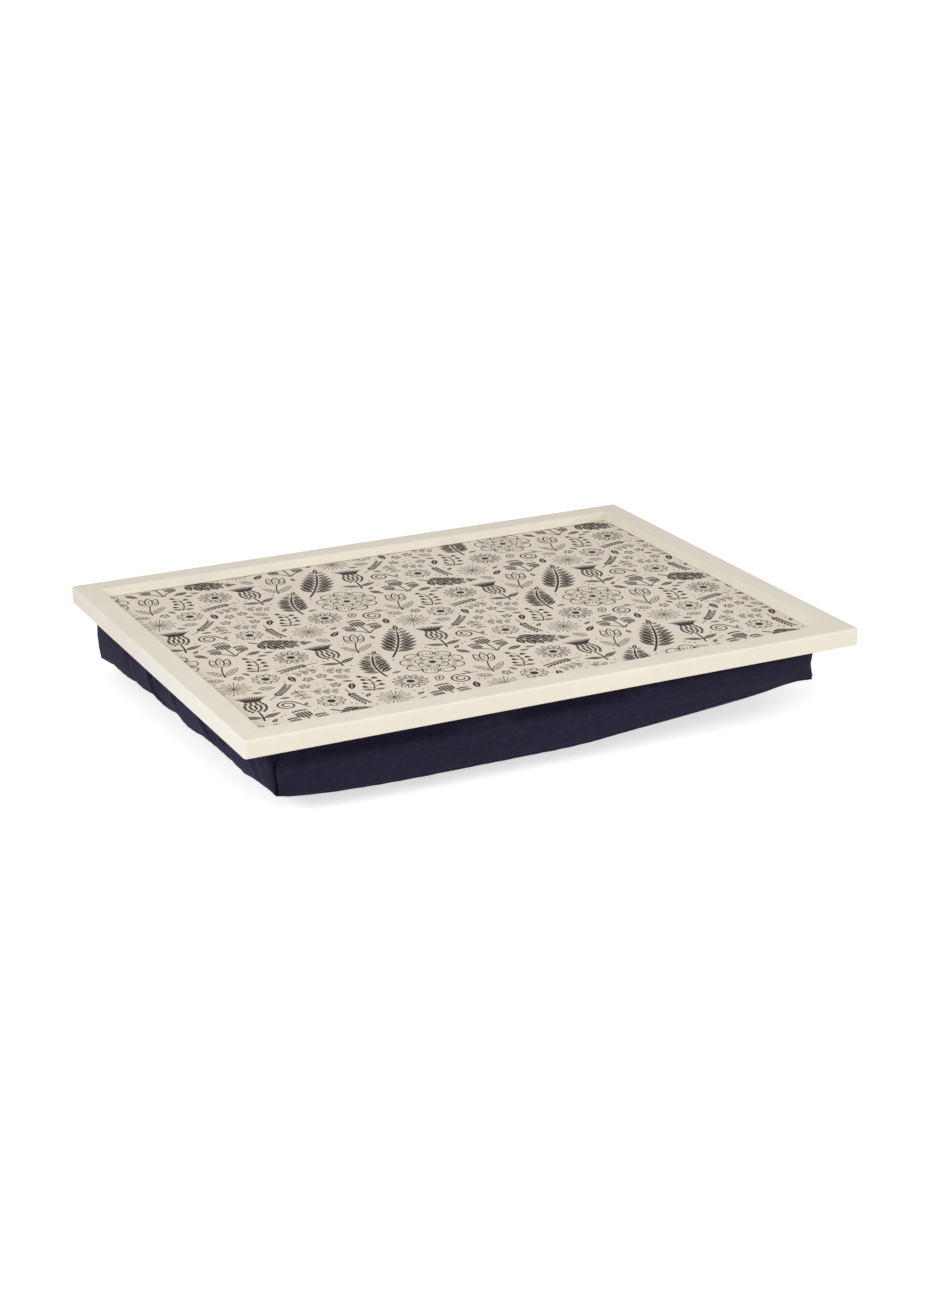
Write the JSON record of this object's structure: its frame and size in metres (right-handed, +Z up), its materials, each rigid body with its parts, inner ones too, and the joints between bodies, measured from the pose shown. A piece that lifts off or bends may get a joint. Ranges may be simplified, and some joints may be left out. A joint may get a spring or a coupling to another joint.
{
  "type": "lap tray with cushion",
  "caption": "Rectangular lap tray with a shallow printed recess in a mitred, painted frame, on a boxed fabric cushion of beads that moulds to the lap.",
  "frame": {"origin": "on the floor under the middle of the tray, at the bottom centre of the whole object's box", "axes": "+Z up; +X along the long side to the right; the near long side faces -Y"},
  "size_m": [0.44, 0.33, 0.062],
  "materials": {
    "cream_paint": "satin cream paint on moulded wood",
    "printed_laminate": "satin laminate, dark grey brown line print on warm beige",
    "bare_board": "bare fibreboard",
    "navy_cloth": "dark navy plain weave",
    "strip_card": "grey brown tacking card",
    "lining_cloth": "off-white nonwoven",
    "bead_foam": "expanded polystyrene beads",
    "steel": "galvanised wire and strip"
  },
  "bodies": {
    "root": {"front_rail": "cream_paint", "back_rail": "cream_paint", "left_rail": "cream_paint", "right_rail": "cream_paint", "corner_v_nails": "steel", "tray_board": "bare_board", "print_laminate": "printed_laminate", "front_gusset": "navy_cloth", "back_gusset": "navy_cloth", "left_gusset": "navy_cloth", "right_gusset": "navy_cloth", "base_panel": "navy_cloth", "front_tack_strip": "strip_card", "back_tack_strip": "strip_card", "left_tack_strip": "strip_card", "right_tack_strip": "strip_card", "tack_staples": "steel", "inner_bag_top": "lining_cloth", "inner_bag_body": "lining_cloth", "bead_fill": "bead_foam"}
  },
  "joints": []
}
